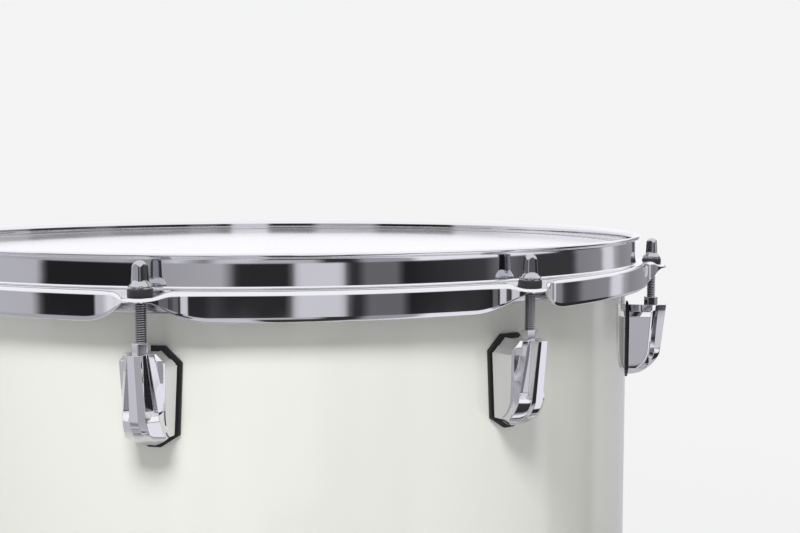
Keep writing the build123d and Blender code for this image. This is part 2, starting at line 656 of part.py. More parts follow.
def make_clamp_shoe():
    start = clamp_start()
    return on_clamp_axis(upright_rod(SHOE_DIAMETER / 2, 0, start, start + SHOE_LENGTH))


def make_wing_screw():
    start = clamp_start() + SHOE_LENGTH
    hub_start = BRACKET_HALF_WIDTH + BOSS_LENGTH + WING_HUB_GAP
    hub_end = hub_start + WING_HUB_LENGTH
    crest = WING_SCREW_DIAMETER / 2
    core = WING_SCREW_CORE / 2
    thread = threaded_outline(core, crest, hub_start, start + WING_SCREW_PITCH, WING_SCREW_PITCH)
    outline = [(0, start), (core, start), *reversed(thread), (0, hub_start)]
    hub = upright_rod(WING_HUB_DIAMETER / 2, 0, hub_start, hub_end)
    hub = chamfer(hub.edges(), WING_HUB_CHAMFER)
    tip = Pos(WING_SPAN / 2 - WING_TIP_RADIUS, WING_TIP_RISE) * Circle(WING_TIP_RADIUS)
    root = Line((0, 0), (0, WING_HUB_LENGTH))
    lobe = make_hull(tip.edges() + root.edges())
    wings = extrude(Plane.YZ * (lobe + mirror(lobe, Plane.YZ)), WING_THICKNESS / 2, both=True)
    screw = spun(closed(outline)) + hub + Pos(0, 0, hub_start) * wings
    return on_clamp_axis(screw)


# Leg: a steel bar, straight through the bracket, splayed below, in a rubber foot
def leg_path():
    """Top of the leg, its bend, its lower end and where its splayed axis meets the floor."""
    top = BRACKET_LEVEL + BRACKET_HEIGHT / 2 + LEG_TOP_ABOVE_BRACKET
    slope = math.tan(math.radians(LEG_SPLAY))
    floor_x = LEG_CIRCLE + LEG_BEND_HEIGHT * slope
    end_x = LEG_CIRCLE + (LEG_BEND_HEIGHT - LEG_END_HEIGHT) * slope
    return (LEG_CIRCLE, top), (LEG_CIRCLE, LEG_BEND_HEIGHT), (end_x, LEG_END_HEIGHT), (floor_x, 0)


def make_leg():
    top, bend, end, _ = leg_path()
    points = [(x, 0, z) for x, z in (top, bend, end)]
    path = FilletPolyline(*points, radius=LEG_BEND_RADIUS)
    leg = sweep(Plane(origin=points[0], z_dir=(0, 0, -1)) * Circle(LEG_RADIUS), path)
    return chamfer(leg.faces().sort_by(Axis.Z)[-1].edges(), LEG_TOP_CHAMFER)


def make_foot():
    _, _, end, floor = leg_path()
    slope = math.radians(LEG_SPLAY)
    foot = spun(
        closed(
            [
                (0, -FOOT_DIAMETER),
                (FOOT_DIAMETER / 2, -FOOT_DIAMETER),
                (FOOT_DIAMETER / 2, FOOT_BASE_HEIGHT),
                (FOOT_TOP_DIAMETER / 2, FOOT_NECK_HEIGHT),
                (FOOT_TOP_DIAMETER / 2, FOOT_HEIGHT),
                (0, FOOT_HEIGHT),
            ]
        )
    )
    bore_floor = math.hypot(floor[0] - end[0], end[1]) - FOOT_BORE_GAP
    foot -= upright_rod(LEG_RADIUS + FOOT_BORE_GAP, 0, bore_floor, FOOT_HEIGHT)
    foot = Pos(floor[0], 0, 0) * Rot(0, -math.degrees(slope), 0) * foot
    return foot & Pos(floor[0], 0, 0) * Box(
        LARGE, LARGE, LARGE, align=(Align.CENTER, Align.CENTER, Align.MIN)
    )


# Nodes: single pieces, pieces of each end, and pieces of each leg
def all_nodes():
    nodes = {"shell": make_shell(), "vent_grommet": make_vent_grommet()}
    single = {
        "film": make_film(),
        "flesh_hoop": make_flesh_hoop(),
        "hoop": make_hoop(),
    }
    ringed = {
        "washers": make_washer(),
        "lugs": make_lug(),
        "lug_gaskets": make_lug_gasket(),
        "swivel_nuts": make_swivel_nut(),
    }
    rod = make_rod()
    screws = make_lug_screws()
    for end, place in ENDS.items():
        for name, shape in single.items():
            nodes[f"{end}_{name}"] = place * shape
        for name, shape in ringed.items():
            copies = around(shape, LUG_ANGLES)
            nodes[f"{end}_{name}"] = Compound(children=[place * copy for copy in copies])
        for number, angle in enumerate(LUG_ANGLES, 1):
            nodes[f"{end}_rod_{number}"] = place * Rot(0, 0, angle) * rod
        copies = [copy for screw in screws for copy in around(screw, LUG_ANGLES)]
        nodes[f"{end}_lug_screws"] = Compound(children=[place * copy for copy in copies])
    per_leg = {
        "leg_bracket": make_bracket(),
        "clamp_shoe": make_clamp_shoe(),
        "wing_screw": make_wing_screw(),
        "leg": make_leg(),
        "foot": make_foot(),
    }
    for name, shape in per_leg.items():
        for number, angle in enumerate(LEG_ANGLES, 1):
            nodes[f"{name}_{number}"] = Rot(0, 0, angle) * shape
    nodes["bracket_gaskets"] = Compound(children=around(make_bracket_gasket(), LEG_ANGLES))
    screws = [copy for screw in make_bracket_screws() for copy in around(screw, LEG_ANGLES)]
    nodes["bracket_screws"] = Compound(children=screws)
    return nodes


os.makedirs("parts", exist_ok=True)
for node, solid in all_nodes().items():
    export_step(solid, os.path.join("parts", f"{node}.step"))
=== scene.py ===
import json
import math

import bmesh
import bpy
from mathutils import Matrix, Vector


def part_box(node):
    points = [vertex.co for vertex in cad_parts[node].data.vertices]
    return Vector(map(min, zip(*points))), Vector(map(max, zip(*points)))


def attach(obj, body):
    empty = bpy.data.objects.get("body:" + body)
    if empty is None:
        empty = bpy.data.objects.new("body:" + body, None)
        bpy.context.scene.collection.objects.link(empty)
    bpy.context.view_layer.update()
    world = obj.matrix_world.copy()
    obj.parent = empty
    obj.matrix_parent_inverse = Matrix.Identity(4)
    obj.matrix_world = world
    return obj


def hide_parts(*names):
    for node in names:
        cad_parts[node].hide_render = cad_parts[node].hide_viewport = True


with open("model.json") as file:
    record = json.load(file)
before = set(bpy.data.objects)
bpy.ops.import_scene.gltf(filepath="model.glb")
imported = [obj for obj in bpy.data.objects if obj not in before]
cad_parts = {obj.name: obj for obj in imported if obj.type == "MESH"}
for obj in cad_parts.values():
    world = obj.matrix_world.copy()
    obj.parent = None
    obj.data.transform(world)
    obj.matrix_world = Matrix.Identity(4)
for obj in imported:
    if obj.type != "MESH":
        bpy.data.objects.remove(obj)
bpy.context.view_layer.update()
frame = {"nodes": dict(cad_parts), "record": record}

MM = 0.001

# Places read from the frame
shell_low, shell_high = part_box("shell")
SHELL_RADIUS = shell_high[0]
TOP_EDGE = shell_high[2]
BOTTOM_EDGE = shell_low[2]
SHELL_MIDDLE = (TOP_EDGE + BOTTOM_EDGE) / 2

# An end place has Z = 0 on the bearing edge and +Z away from the shell
END_PLACES = {
    "batter": Matrix.Translation((0, 0, TOP_EDGE)),
    "resonant": Matrix.Translation((0, 0, BOTTOM_EDGE)) @ Matrix.Rotation(math.pi, 4, "X"),
}
LUG_COUNT = 8
LUG_TURNS = [math.tau / LUG_COUNT * i for i in range(LUG_COUNT)]

# Shell and heads
SHELL_WALL = 7.5 * MM
EDGE_BACK_CUT = 2.5 * MM
FILM_THICKNESS = 0.3 * MM
FILM_GAP = 0.1 * MM
FLESH_TOP = -9.95 * MM
FLESH_HEIGHT = 10.0 * MM
FLESH_INNER = SHELL_RADIUS + 1.3 * MM
FLESH_WIDTH = 7.2 * MM
FLESH_ROUND = 2.0 * MM
FLESH_ARC_STEPS = 5
COLLAR_OUT = 2.4 * MM
FILM_TUCK = 4.5 * MM
SHELL_ROWS = 24
SHELL_STEPS = 256
FILM_RINGS = 12
FILM_STEPS = 192

# Hoop, pressed from one sheet
SHEET = 2.3 * MM
RIM_RISE = 8.0 * MM
WALL_INNER = SHELL_RADIUS + 3.5 * MM
WALL_OUTER = WALL_INNER + SHEET
LIP_BEND = 1.0 * MM
LIP_REACH = 2.5 * MM
OGEE_START = RIM_RISE - 13.75 * MM
OGEE_BEND = 1.6 * MM
OGEE_RADIUS = WALL_OUTER + OGEE_BEND
OGEE_MIDDLE = OGEE_START - OGEE_BEND
SKIRT_OUTER = OGEE_RADIUS + OGEE_BEND + SHEET
SKIRT_BOTTOM = RIM_RISE - 31.7 * MM
EAR_TOP = OGEE_MIDDLE - OGEE_BEND - SHEET
EAR_BOTTOM = EAR_TOP - SHEET
EAR_TIP_RADIUS = 9.0 * MM
EAR_ROOT_HALF = 24.0 * MM
EAR_ROUND = 2.0 * MM
EAR_SOFTNESS = 7.0 * MM
EAR_SOFT_START = 0.5
EAR_FOOT = 0.2 * MM
EAR_CROWDING = 0.65
EAR_SEAT_HALF = 6.0 * MM
EAR_SEAT_RUN = 8.0 * MM
WALL_BOTTOM = RIM_RISE - 15.4 * MM
OGEE_FALL = 1.4 * MM
SKIRT_BEND = 2.6 * MM
SKIRT_FALL = 2.8 * MM
LEAST_SKIRT = 0.1 * MM
LEAST_BEND = 0.3 * MM
SCALLOP_SOFTNESS = 0.06
SCALLOP_TOP_HALF = 6.0 * MM
SCALLOP_RUN = 24.0 * MM
HOOP_STEPS = 72
PROFILE_KEYS = 100000

# Rods, washers and nuts
ROD_CIRCLE = SHELL_RADIUS + 15.8 * MM
ROD_CREST = 2.75 * MM
ROD_CORE = 2.2 * MM
THREAD_PITCH = 1.06 * MM
WASHER_RADIUS = 5.9 * MM
WASHER_THICKNESS = 3.6 * MM
WASHER_STEPS = 40
ROD_HOLE_GAP = 0.4 * MM
WASHER_TOP = EAR_TOP + WASHER_THICKNESS
HEAD_HALF = 3.2 * MM
HEAD_TURN = math.radians(-23)
HEAD_TAPER = 0.16
HEAD_SQUARENESS = 9.0
HEAD_HEIGHT = 12.9 * MM
HEAD_DOME = 4.0 * MM
HEAD_DOME_STEPS = 8
HEAD_SIDE_STEPS = 16
FLANGE_RADIUS = 5.5 * MM
FLANGE_THICKNESS = 1.3 * MM
FLANGE_CONE = 2.6 * MM
CONE_TOP_RADIUS = HEAD_HALF * 0.9
ROD_LENGTH = 40.0 * MM
ROD_STEPS = 32
THREAD_START = 5.0 * MM
THREAD_ROWS = 6
ON_AXIS = 0.01 * MM
NUT_RADIUS = 4.3 * MM
NUT_RISE = 4.8 * MM
NUT_SINK = 2.6 * MM

# Lug. Reaches are measured from the shell and drops from the lug's top.
LUG_TOP = -37.0 * MM
LUG_HEIGHT = 45.4 * MM
LUG_REACH = 25.4 * MM
LUG_RAKE = 3.5 * MM
LUG_RAKE_DROP = 29.0 * MM
LUG_ROUNDNESS = 1.6
LUG_KEEL_HALF = 3.15 * MM
LUG_KEEL_FLARE = 0.024
LUG_KEEL_DIP = 0.9 * MM
LUG_RAIL_REACH = 20.4 * MM
LUG_RAIL_RAKE = 2.6 * MM
LUG_RAIL_HALF = 5.0 * MM
LUG_RAIL_FLARE = 0.125
LUG_RAIL_WIDTH = 2.1 * MM
LUG_RAIL_EDGE = 18.6 * MM
LUG_RAIL_FALL = 0.148
LUG_CHEEK_REACH = 15.6 * MM
LUG_CHEEK_RAKE = 2.2 * MM
LUG_CHEEK_RISE = 4.0 * MM
LUG_CHEEK_DRAFT = 0.09
LUG_CORNER_OUT = 1.0 * MM
LUG_CORNER_IN = 0.6 * MM
LUG_TOE_REACH = 3.2 * MM
LUG_TOP_HALF = 5.2 * MM
LUG_SHOULDER_HALF = 12.5 * MM
LUG_SHOULDER_DROP = 7.2 * MM
LUG_SHOULDER_LEAN = 0.11
LUG_HEEL_HALF = 10.9 * MM
LUG_HEEL_RISE = 5.2 * MM
LUG_TOE_HALF = 2.4 * MM
LUG_LEAST_STEP = 0.3 * MM
LUG_FLOOR_REACH = 19.4 * MM
LUG_FLOOR_RAKE = 0.17
LUG_FLOOR_SHARE = 0.3
LUG_POCKET_DROP = 26.5 * MM
LUG_POCKET_END = 31.0 * MM
LUG_ARC_STEPS = 6
LUG_ROOT = 1.65 * MM


# Most of a noise texture's values lie between these
NOISE_LOW = 0.3
NOISE_HIGH = 0.7


# Node helpers
def new_finish(name):
    """A node material with its Principled shader."""
    finish = bpy.data.materials.new(name)
    finish.use_nodes = True
    shader = finish.node_tree.nodes["Principled BSDF"]
    return finish, finish.node_tree, shader


def object_noise(tree, scale, detail=3.0, stretch=(1, 1, 1)):
    """Noise on Object coordinates, so that a pattern stays with its piece."""
    coords = tree.nodes.new("ShaderNodeTexCoord")
    mapping = tree.nodes.new("ShaderNodeMapping")
    mapping.inputs["Scale"].default_value = stretch
    noise = tree.nodes.new("ShaderNodeTexNoise")
    noise.inputs["Scale"].default_value = scale
    noise.inputs["Detail"].default_value = detail
    tree.links.new(coords.outputs["Object"], mapping.inputs["Vector"])
    tree.links.new(mapping.outputs["Vector"], noise.inputs["Vector"])
    return noise.outputs["Fac"]


def ranged(tree, value, low, high):
    """A value from 0 to 1 spread between two numbers."""
    node = tree.nodes.new("ShaderNodeMapRange")
    node.inputs["From Min"].default_value = NOISE_LOW
    node.inputs["From Max"].default_value = NOISE_HIGH
    node.inputs["To Min"].default_value = low
    node.inputs["To Max"].default_value = high
    tree.links.new(value, node.inputs["Value"])
    return node.outputs["Result"]


def two_tone(tree, value, first, second):
    """A colour between two, by a value from 0 to 1; each is a socket or a plain colour."""
    mix = tree.nodes.new("ShaderNodeMix")
    mix.data_type = "RGBA"
    tree.links.new(value, mix.inputs["Factor"])
    for name, colour in (("A", first), ("B", second)):
        if isinstance(colour, tuple):
            mix.inputs[name].default_value = (*colour, 1)
        else:
            tree.links.new(colour, mix.inputs[name])
    return mix.outputs["Result"]


def soft_step(tree, value, low, high):
    """A value that rises smoothly from 0 to 1 between two numbers."""
    step = tree.nodes.new("ShaderNodeMapRange")
    step.interpolation_type = "SMOOTHSTEP"
    step.inputs["From Min"].default_value = low
    step.inputs["From Max"].default_value = high
    tree.links.new(value, step.inputs["Value"])
    return step.outputs["Result"]


def mixed_shaders(tree, factor, first, second):
    """A shader between two, by a value from 0 to 1."""
    mix = tree.nodes.new("ShaderNodeMixShader")
    tree.links.new(factor, mix.inputs["Fac"])
    tree.links.new(first, mix.inputs[1])
    tree.links.new(second, mix.inputs[2])
    return mix.outputs["Shader"]


def bumped(tree, shader, value, strength, distance):
    """Fine relief from a value."""
    bump = tree.nodes.new("ShaderNodeBump")
    bump.inputs["Strength"].default_value = strength
    bump.inputs["Distance"].default_value = distance
    tree.links.new(value, bump.inputs["Height"])
    tree.links.new(bump.outputs["Normal"], shader.inputs["Normal"])


# Finishes
def chrome_finish(name, tint, smooth, worn, ripple):
    """Bright plating: clean metal with faint handling haze and the slight ripple of pressed or cast metal."""
    finish, tree, shader = new_finish(name)
    shader.inputs["Metallic"].default_value = 1.0
    haze = object_noise(tree, 45.0, 4.0)
    dark = tuple(channel * 0.95 for channel in tint)
    tree.links.new(two_tone(tree, haze, dark, tint), shader.inputs["Base Color"])
    tree.links.new(ranged(tree, haze, smooth, worn), shader.inputs["Roughness"])
    bumped(tree, shader, object_noise(tree, 28.0, 1.0), ripple, 0.4 * MM)
    return finish


def rod_finish():
    """Plated steel, with painted shade that darkens the roots of the thread."""
    finish, tree, shader = new_finish("rod_plate")
    shader.inputs["Metallic"].default_value = 1.0
    haze = object_noise(tree, 90.0, 3.0)
    plate = two_tone(tree, haze, (0.44, 0.44, 0.47), (0.52, 0.52, 0.55))
    # Painted shade: the thread's depth darkens the plate to near black in the roots of the thread.
    depth = tree.nodes.new("ShaderNodeAttribute")
    depth.attribute_name = "thread_depth"
    painted_thread_shade = two_tone(tree, depth.outputs["Fac"], plate, (0.03, 0.03, 0.034))
    tree.links.new(painted_thread_shade, shader.inputs["Base Color"])
    tree.links.new(ranged(tree, haze, 0.06, 0.12), shader.inputs["Roughness"])
    return finish


def lacquer_finish():
    """Pale mint lacquer under a clear gloss coat."""
    finish, tree, shader = new_finish("mint_lacquer")
    cloud = object_noise(tree, 5.0, 2.0)
    colour = two_tone(tree, cloud, (0.775, 0.785, 0.725), (0.81, 0.81, 0.755))
    tree.links.new(colour, shader.inputs["Base Color"])
    grain = object_noise(tree, 900.0, 2.0)
    tree.links.new(ranged(tree, grain, 0.32, 0.42), shader.inputs["Roughness"])
    shader.inputs["Coat Weight"].default_value = 1.0
    shader.inputs["Coat Roughness"].default_value = 0.03
    bumped(tree, shader, object_noise(tree, 60.0, 2.0), 0.02, 0.3 * MM)
    return finish


def film_finish():
    """Smooth white drum head film."""
    finish, tree, shader = new_finish("white_film")
    haze = object_noise(tree, 12.0, 4.0)
    colour = two_tone(tree, haze, (0.79, 0.79, 0.80), (0.82, 0.82, 0.83))
    tree.links.new(colour, shader.inputs["Base Color"])
    tree.links.new(ranged(tree, haze, 0.06, 0.12), shader.inputs["Roughness"])
    return finish


def black_finish(name, colour, low, high, grain_scale, relief):
    """Matt black rubber or nylon with a fine grain."""
    finish, tree, shader = new_finish(name)
    grain = object_noise(tree, grain_scale, 4.0)
    lighter = tuple(channel * 1.6 for channel in colour)
    tree.links.new(two_tone(tree, grain, colour, lighter), shader.inputs["Base Color"])
    tree.links.new(ranged(tree, grain, low, high), shader.inputs["Roughness"])
    bumped(tree, shader, grain, relief, 0.1 * MM)
    return finish


def satin_metal_finish(name, tint, low, high, stretch):
    """Drawn or plated metal with a fine directional grain."""
    finish, tree, shader = new_finish(name)
    shader.inputs["Metallic"].default_value = 1.0
    grain = object_noise(tree, 160.0, 5.0, stretch)
    dark = tuple(channel * 0.85 for channel in tint)
    tree.links.new(two_tone(tree, grain, dark, tint), shader.inputs["Base Color"])
    tree.links.new(ranged(tree, grain, low, high), shader.inputs["Roughness"])
    return finish


FINISHES = {
    "chrome": chrome_finish("chrome_plate", (0.74, 0.74, 0.76), 0.025, 0.06, 0.05),
    "leg_chrome": chrome_finish("leg_plate", (0.72, 0.72, 0.74), 0.05, 0.11, 0.03),
    "rod_steel": rod_finish(),
    "lacquered_shell": lacquer_finish(),
    "head_film": film_finish(),
    "black_rubber": black_finish("black_rubber", (0.010, 0.010, 0.011), 0.45, 0.65, 700.0, 0.25),
    "black_nylon": black_finish("black_nylon", (0.016, 0.016, 0.017), 0.35, 0.5, 900.0, 0.12),
    "flesh_aluminium": satin_metal_finish("satin_aluminium", (0.72, 0.72, 0.74), 0.22, 0.36, (1, 1, 14)),
    "screw_steel": satin_metal_finish("zinc_plate", (0.55, 0.55, 0.57), 0.25, 0.4, (1, 1, 1)),
}


MERGE_DISTANCE = 0.001 * MM


# Mesh helpers
def merged(bm):
    """Closes seams and points the faces outwards."""
    bmesh.ops.remove_doubles(bm, verts=bm.verts, dist=MERGE_DISTANCE)
    bmesh.ops.recalc_face_normals(bm, faces=bm.faces)


def full_spin(bm, outline, steps):
    """Spins an outline once round Z."""
    bmesh.ops.spin(
        bm,
        geom=outline,
        cent=(0, 0, 0),
        axis=(0, 0, 1),
        angle=math.tau,
        steps=steps,
        use_merge=True,
    )


def spun(outline, steps, closed=True):
    """A bmesh spun about Z from (radius, height) points; an open outline starts and ends on the axis."""
    bm = bmesh.new()
    verts = [bm.verts.new((radius, 0, height)) for radius, height in outline]
    edges = [bm.edges.new(pair) for pair in zip(verts, verts[1:])]
    if closed:
        edges.append(bm.edges.new((verts[-1], verts[0])))
    full_spin(bm, verts + edges, steps)
    merged(bm)
    return bm


def arc(centre, radii, start, end, steps):
    """Points on an elliptic arc in the (radius, height) plane, angles in degrees."""
    points = []
    for i in range(steps + 1):
        turn = math.radians(start + (end - start) * i / steps)
        points.append((centre[0] + radii[0] * math.cos(turn), centre[1] + radii[1] * math.sin(turn)))
    return points


def smooth_share(value):
    """An S-shaped share between 0 and 1."""
    value = min(1.0, max(0.0, value))
    return value * value * (3 - 2 * value)


def copied(bm, places):
    """One bmesh with a copy of bm at each place."""
    result = bmesh.new()
    mesh = bpy.data.meshes.new("copy_source")
    bm.to_mesh(mesh)
    bm.free()
    for place in places:
        before = len(result.verts)
        result.from_mesh(mesh)
        result.verts.ensure_lookup_table()
        bmesh.ops.transform(result, matrix=place, verts=result.verts[before:])
    bpy.data.meshes.remove(mesh)
    return result


def add_piece(name, bm, body, slot, *nodes):
    """Makes a piece from a bmesh, gives it its finish and sets it on its body in place of the nodes."""
    for face in bm.faces:
        face.smooth = True
    mesh = bpy.data.meshes.new(name)
    bm.to_mesh(mesh)
    bm.free()
    mesh.materials.append(FINISHES[slot])
    piece = bpy.data.objects.new(name, mesh)
    bpy.context.scene.collection.objects.link(piece)
    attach(piece, body)
    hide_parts(*nodes)
    return piece


def soften_edges(piece, width, angle=25.0, segments=3, clamped=True):
    """Rounds a piece's sharp edges and keeps its flat faces flat to the light."""
    bevel = piece.modifiers.new("edge_round", "BEVEL")
    bevel.width = width
    bevel.segments = segments
    bevel.limit_method = "ANGLE"
    bevel.angle_limit = math.radians(angle)
    bevel.use_clamp_overlap = clamped
    weighted = piece.modifiers.new("flat_faces", "WEIGHTED_NORMAL")
    weighted.weight = 100
    weighted.keep_sharp = False


# Shell and heads
def make_shell():
    inner = SHELL_RADIUS - SHELL_WALL
    peak = SHELL_RADIUS - EDGE_BACK_CUT
    inner_cut = SHELL_WALL - EDGE_BACK_CUT
    rise = TOP_EDGE - BOTTOM_EDGE
    outline = [(peak, BOTTOM_EDGE)]
    for i in range(SHELL_ROWS + 1):
        share = i / SHELL_ROWS
        height = BOTTOM_EDGE + EDGE_BACK_CUT + (rise - 2 * EDGE_BACK_CUT) * share
        outline.append((SHELL_RADIUS, height))
    outline += [(peak, TOP_EDGE), (inner, TOP_EDGE - inner_cut), (inner, BOTTOM_EDGE + inner_cut)]
    shell = add_piece("lacquered_shell", spun(outline, SHELL_STEPS), "drum", "lacquered_shell", "shell")
    soften_edges(shell, width=0.4 * MM, angle=30.0, segments=2)


def make_head(end, place):
    collar = SHELL_RADIUS + COLLAR_OUT
    peak = SHELL_RADIUS - EDGE_BACK_CUT
    under = [
        (peak, FILM_GAP),
        (SHELL_RADIUS + 2 * FILM_THICKNESS, FILM_GAP - EDGE_BACK_CUT),
        (collar, FLESH_TOP),
        (collar, FLESH_TOP - FILM_TUCK),
    ]
    over = [(radius + FILM_THICKNESS, height) for radius, height in under[1:]]
    over.insert(0, (peak, FILM_GAP + FILM_THICKNESS))
    flat = [(peak * i / FILM_RINGS, FILM_GAP + FILM_THICKNESS) for i in range(FILM_RINGS)]
    low = [(peak * i / FILM_RINGS, FILM_GAP) for i in range(FILM_RINGS)]
    outline = low + under + list(reversed(over)) + list(reversed(flat))
    bm = spun(outline, FILM_STEPS, closed=False)
    bmesh.ops.transform(bm, matrix=place, verts=bm.verts)
    film = add_piece(f"{end}_head_film", bm, "drum", "head_film", f"{end}_film")
    soften_edges(film, width=0.1 * MM, angle=20.0, segments=2)

    middle = FLESH_INNER + FLESH_WIDTH / 2
    half_width = FLESH_WIDTH / 2 - FLESH_ROUND
    low_edge = FLESH_TOP - FLESH_HEIGHT + FLESH_ROUND
    high_edge = FLESH_TOP - FLESH_ROUND
    corners = [
        (middle + half_width, high_edge),
        (middle - half_width, high_edge),
        (middle - half_width, low_edge),
        (middle + half_width, low_edge),
    ]
    ring = []
    for number, corner in enumerate(corners):
        ring += arc(corner, (FLESH_ROUND, FLESH_ROUND), 90 * number, 90 * (number + 1), FLESH_ARC_STEPS)
    bm = spun(ring, SHELL_STEPS)
    bmesh.ops.transform(bm, matrix=place, verts=bm.verts)
    add_piece(f"{end}_flesh_ring", bm, "drum", "flesh_aluminium", f"{end}_flesh_hoop")


# Hoop
def ear_outline(turn):
    """Radius of the skirt's plan outline, at an angle from the middle of an ear."""
    tip_reach = ROD_CIRCLE * math.sin(turn)
    tip = 0.0
    if abs(tip_reach) < EAR_TIP_RADIUS:
        tip = ROD_CIRCLE * math.cos(turn) + math.sqrt(EAR_TIP_RADIUS**2 - tip_reach**2)
    across = ROD_CIRCLE - WALL_INNER
    flank_length = math.hypot(across, EAR_ROOT_HALF)
    lean = math.atan2(-EAR_ROOT_HALF, across) + math.asin(EAR_TIP_RADIUS / flank_length)
    normal = (-math.sin(lean), math.cos(lean))
    level = normal[0] * WALL_INNER + normal[1] * EAR_ROOT_HALF
    flank = level / (normal[0] * math.cos(turn) + normal[1] * abs(math.sin(turn)))
    tongue_turn = math.asin(EAR_TIP_RADIUS * normal[1] / ROD_CIRCLE)
    tongue = tip if abs(turn) < tongue_turn else flank
    gap = tongue - SKIRT_OUTER
    softness = EAR_SOFTNESS * smooth_share(abs(tip_reach) / EAR_TIP_RADIUS - EAR_SOFT_START)
    return SKIRT_OUTER + (gap + math.sqrt(gap * gap + softness**2)) / 2


def scallop_edge(across):
    """Height of the skirt's lower edge: level under an ear, falling fast, then running out along the bay."""
    drop = EAR_BOTTOM - SKIRT_BOTTOM
    radius = (SCALLOP_RUN**2 + drop**2) / (2 * drop)
    share = min(1.0, max(0.0, (across - SCALLOP_TOP_HALF) / SCALLOP_RUN))
    rise = radius - math.sqrt(radius**2 - (SCALLOP_RUN * (1 - share)) ** 2)
    softened = share / (share + SCALLOP_SOFTNESS) * (1 + SCALLOP_SOFTNESS)
    return EAR_BOTTOM - (drop - rise) * softened


def hoop_profile(turn):
    """Closed outline of the hoop's sheet as (radius, height), at an angle from the middle of an ear."""
    outline = ear_outline(turn)
    across = abs(SKIRT_OUTER * math.sin(turn))
    ear = 1 - smooth_share((across - EAR_SEAT_HALF) / EAR_SEAT_RUN)
    low = scallop_edge(across)
    lip_out = LIP_BEND + SHEET
    lip_centre = (WALL_OUTER + LIP_BEND, RIM_RISE - lip_out)
    edge = SHEET / 2
    edge_centre = (WALL_OUTER + LIP_REACH - edge, RIM_RISE - edge)
    ogee_low = WALL_BOTTOM - OGEE_FALL
    shelf = ogee_low + (EAR_TOP - ogee_low) * ear
    bend = SKIRT_BEND + (EAR_ROUND - SKIRT_BEND) * ear
    fall = SKIRT_FALL + (EAR_ROUND - SKIRT_FALL) * ear
    shelf_end = outline - bend
    foot = edge + (EAR_FOOT - edge) * ear
    under = max(shelf - SHEET, low + foot + LEAST_SKIRT)
    inner_bend = max(bend - SHEET, LEAST_BEND)
    inner_fall = min(max(fall - SHEET, LEAST_BEND), (under - low - foot) / 2)
    fall = min(fall, shelf - low - foot)
    skirt_inner = outline - SHEET
    wall_steps, bend_steps, skirt_steps = 4, 6, 8

    def run(start, end, steps):
        return [
            (start[0] + (end[0] - start[0]) * i / steps, start[1] + (end[1] - start[1]) * i / steps)
            for i in range(1, steps)
        ]

    def slope(start, end, steps):
        points = []
        for i in range(1, steps):
            share = i / steps
            fall = smooth_share(share)
            points.append((start[0] + (end[0] - start[0]) * share, start[1] + (end[1] - start[1]) * fall))
        return points

    points = run((WALL_INNER, WALL_BOTTOM), (WALL_INNER, lip_centre[1]), wall_steps)
    points += arc(lip_centre, (lip_out, lip_out), 180, 90, bend_steps)
    points += arc(edge_centre, (edge, edge), 90, -90, bend_steps)
    points += arc(lip_centre, (LIP_BEND, LIP_BEND), 90, 180, bend_steps)
    points += run((WALL_OUTER, lip_centre[1]), (WALL_OUTER, WALL_BOTTOM), wall_steps)
    points += arc((OGEE_RADIUS, WALL_BOTTOM), (OGEE_BEND, OGEE_FALL), 180, 270, bend_steps)
    points += slope((OGEE_RADIUS, ogee_low), (shelf_end, shelf), skirt_steps)
    points += arc((shelf_end, shelf - fall), (bend, fall), 90, 0, bend_steps)
    points += run((outline, shelf - fall), (outline, low + foot), skirt_steps)
    points += arc((outline - edge, low + foot), (edge, foot), 0, -180, bend_steps)
    points += run((skirt_inner, low + foot), (skirt_inner, under - inner_fall), skirt_steps)
    points += arc((skirt_inner - inner_bend, under - inner_fall), (inner_bend, inner_fall), 0, 90, bend_steps)
    points += slope((skirt_inner - inner_bend, under), (OGEE_RADIUS, ogee_low - SHEET), skirt_steps)
    points += arc((OGEE_RADIUS, WALL_BOTTOM), (OGEE_BEND + SHEET, OGEE_FALL + SHEET), 270, 180, bend_steps)
    return points


def make_hoop(end, place):
    """Spins the sheet's plain profile, then moves its points to draw out the ears and cut the bays."""
    plain = hoop_profile(math.pi / LUG_COUNT)
    bm = bmesh.new()
    index = bm.verts.layers.int.new("profile_point")
    verts = []
    for i, (radius, height) in enumerate(plain):
        vert = bm.verts.new((radius, 0, height))
        vert[index] = i
        verts.append(vert)
    edges = [bm.edges.new((verts[i - 1], verts[i])) for i in range(len(verts))]
    full_spin(bm, verts + edges, HOOP_STEPS * LUG_COUNT)
    sector = math.tau / LUG_COUNT
    profiles = {}
    for vert in bm.verts:
        turn = math.atan2(vert.co.y, vert.co.x)
        number = round(turn / sector)
        share = (turn - number * sector) / (sector / 2)
        near = (1 - EAR_CROWDING) * share + EAR_CROWDING * share**3
        key = round(near * PROFILE_KEYS)
        if key not in profiles:
            profiles[key] = hoop_profile(near * sector / 2)
        radius, height = profiles[key][vert[index]]
        moved = number * sector + near * sector / 2
        vert.co = (radius * math.cos(moved), radius * math.sin(moved), height)
    merged(bm)
    bmesh.ops.transform(bm, matrix=place, verts=bm.verts)
    add_piece(f"{end}_pressed_hoop", bm, f"{end}_hoop", "chrome", f"{end}_hoop")


